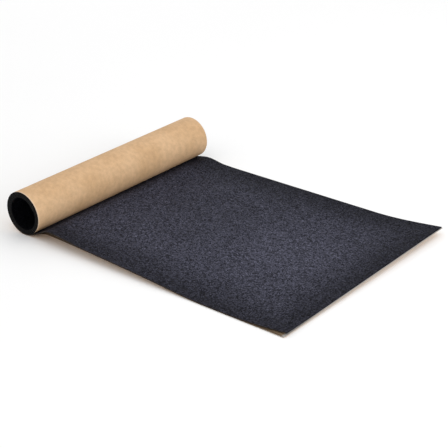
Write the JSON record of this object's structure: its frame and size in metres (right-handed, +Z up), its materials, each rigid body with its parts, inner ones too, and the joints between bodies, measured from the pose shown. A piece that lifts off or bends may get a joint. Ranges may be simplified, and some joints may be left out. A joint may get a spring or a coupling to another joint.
{
  "type": "grip tape sheet",
  "caption": "Abrasive grip tape sheet on a kraft release liner, partly unrolled from a loose roll; peels and sticks to a board.",
  "frame": {"origin": "under the middle of the object's overall length and width, at the level it rests on", "axes": "+X from the roll towards the free end, +Y along the roll's axis, +Z up"},
  "size_m": [0.3172, 0.2286, 0.0416],
  "materials": {
    "grit": "coarse matte abrasive",
    "film": "satin",
    "adhesive": "tacky",
    "liner": "kraft paper"
  },
  "bodies": {
    "open_sheet": {"liner_sheet": "liner", "adhesive_sheet": "adhesive", "film_sheet": "film", "grit_sheet": "grit"},
    "wrap_01": {"liner_wrap_01": "liner", "adhesive_wrap_01": "adhesive", "film_wrap_01": "film", "grit_wrap_01": "grit"},
    "wrap_02": {"liner_wrap_02": "liner", "adhesive_wrap_02": "adhesive", "film_wrap_02": "film", "grit_wrap_02": "grit"},
    "wrap_03": {"liner_wrap_03": "liner", "adhesive_wrap_03": "adhesive", "film_wrap_03": "film", "grit_wrap_03": "grit"},
    "wrap_04": {"liner_wrap_04": "liner", "adhesive_wrap_04": "adhesive", "film_wrap_04": "film", "grit_wrap_04": "grit"},
    "wrap_05": {"liner_wrap_05": "liner", "adhesive_wrap_05": "adhesive", "film_wrap_05": "film", "grit_wrap_05": "grit"},
    "wrap_06": {"liner_wrap_06": "liner", "adhesive_wrap_06": "adhesive", "film_wrap_06": "film", "grit_wrap_06": "grit"},
    "wrap_07": {"liner_wrap_07": "liner", "adhesive_wrap_07": "adhesive", "film_wrap_07": "film", "grit_wrap_07": "grit"},
    "wrap_08": {"liner_wrap_08": "liner", "adhesive_wrap_08": "adhesive", "film_wrap_08": "film", "grit_wrap_08": "grit"},
    "wrap_09": {"liner_wrap_09": "liner", "adhesive_wrap_09": "adhesive", "film_wrap_09": "film", "grit_wrap_09": "grit"},
    "wrap_10": {"liner_wrap_10": "liner", "adhesive_wrap_10": "adhesive", "film_wrap_10": "film", "grit_wrap_10": "grit"},
    "wrap_11": {"liner_wrap_11": "liner", "adhesive_wrap_11": "adhesive", "film_wrap_11": "film", "grit_wrap_11": "grit"},
    "coil": {"liner_coil": "liner", "adhesive_coil": "adhesive", "film_coil": "film", "grit_coil": "grit"},
    "free_end": {"liner_end": "liner", "adhesive_band": "adhesive", "film_band": "film", "grit_band": "grit"},
    "tape_tip": {"adhesive_tip": "adhesive", "film_tip": "film", "grit_tip": "grit"}
  },
  "joints": [
    {"name": "unroll_01", "type": "hinge", "parent": "open_sheet", "child": "wrap_01", "pos_m": [-0.13774, 0, 0], "axis": [0, -1, 0], "range_deg": [0, 15], "stiffness_Nm_per_rad": 0.06},
    {"name": "unroll_02", "type": "hinge", "parent": "wrap_01", "child": "wrap_02", "pos_m": [-0.14825, 0, 0.00291], "axis": [0, -1, 0], "range_deg": [0, 30], "stiffness_Nm_per_rad": 0.06},
    {"name": "unroll_03", "type": "hinge", "parent": "wrap_02", "child": "wrap_03", "pos_m": [-0.15585, 0, 0.01065], "axis": [0, -1, 0], "range_deg": [0, 30], "stiffness_Nm_per_rad": 0.06},
    {"name": "unroll_04", "type": "hinge", "parent": "wrap_03", "child": "wrap_04", "pos_m": [-0.15856, 0, 0.0211], "axis": [0, -1, 0], "range_deg": [0, 30], "stiffness_Nm_per_rad": 0.06},
    {"name": "unroll_05", "type": "hinge", "parent": "wrap_04", "child": "wrap_05", "pos_m": [-0.15568, 0, 0.03146], "axis": [0, -1, 0], "range_deg": [0, 30], "stiffness_Nm_per_rad": 0.06},
    {"name": "unroll_06", "type": "hinge", "parent": "wrap_05", "child": "wrap_06", "pos_m": [-0.14805, 0, 0.03896], "axis": [0, -1, 0], "range_deg": [0, 30], "stiffness_Nm_per_rad": 0.06},
    {"name": "unroll_07", "type": "hinge", "parent": "wrap_06", "child": "wrap_07", "pos_m": [-0.13774, 0, 0.04163], "axis": [0, -1, 0], "range_deg": [0, 30], "stiffness_Nm_per_rad": 0.06},
    {"name": "unroll_08", "type": "hinge", "parent": "wrap_07", "child": "wrap_08", "pos_m": [-0.12753, 0, 0.03879], "axis": [0, -1, 0], "range_deg": [0, 30], "stiffness_Nm_per_rad": 0.06},
    {"name": "unroll_09", "type": "hinge", "parent": "wrap_08", "child": "wrap_09", "pos_m": [-0.12014, 0, 0.03127], "axis": [0, -1, 0], "range_deg": [0, 30], "stiffness_Nm_per_rad": 0.06},
    {"name": "unroll_10", "type": "hinge", "parent": "wrap_09", "child": "wrap_10", "pos_m": [-0.11751, 0, 0.0211], "axis": [0, -1, 0], "range_deg": [0, 30], "stiffness_Nm_per_rad": 0.06},
    {"name": "unroll_11", "type": "hinge", "parent": "wrap_10", "child": "wrap_11", "pos_m": [-0.1203, 0, 0.01103], "axis": [0, -1, 0], "range_deg": [0, 30], "stiffness_Nm_per_rad": 0.06},
    {"name": "unroll_12", "type": "hinge", "parent": "wrap_11", "child": "coil", "pos_m": [-0.12772, 0, 0.00374], "axis": [0, -1, 0], "range_deg": [0, 30], "stiffness_Nm_per_rad": 0.06},
    {"name": "end_lift", "type": "hinge", "parent": "open_sheet", "child": "free_end", "pos_m": [0.08626, 0, 0.001], "axis": [0, -1, 0], "range_deg": [0, 60]},
    {"name": "tape_peel", "type": "hinge", "parent": "free_end", "child": "tape_tip", "pos_m": [0.10626, 0, 0.0017], "axis": [0, -1, 0], "range_deg": [0, 75]}
  ],
  "couplings": [
    {"joint": "unroll_01", "follows": "unroll_02", "ratio": 0.5},
    {"joint": "unroll_03", "follows": "unroll_02", "ratio": 1},
    {"joint": "unroll_04", "follows": "unroll_02", "ratio": 1},
    {"joint": "unroll_05", "follows": "unroll_02", "ratio": 1},
    {"joint": "unroll_06", "follows": "unroll_02", "ratio": 1},
    {"joint": "unroll_07", "follows": "unroll_02", "ratio": 1},
    {"joint": "unroll_08", "follows": "unroll_02", "ratio": 1},
    {"joint": "unroll_09", "follows": "unroll_02", "ratio": 1},
    {"joint": "unroll_10", "follows": "unroll_02", "ratio": 1},
    {"joint": "unroll_11", "follows": "unroll_02", "ratio": 1},
    {"joint": "unroll_12", "follows": "unroll_02", "ratio": 1}
  ]
}
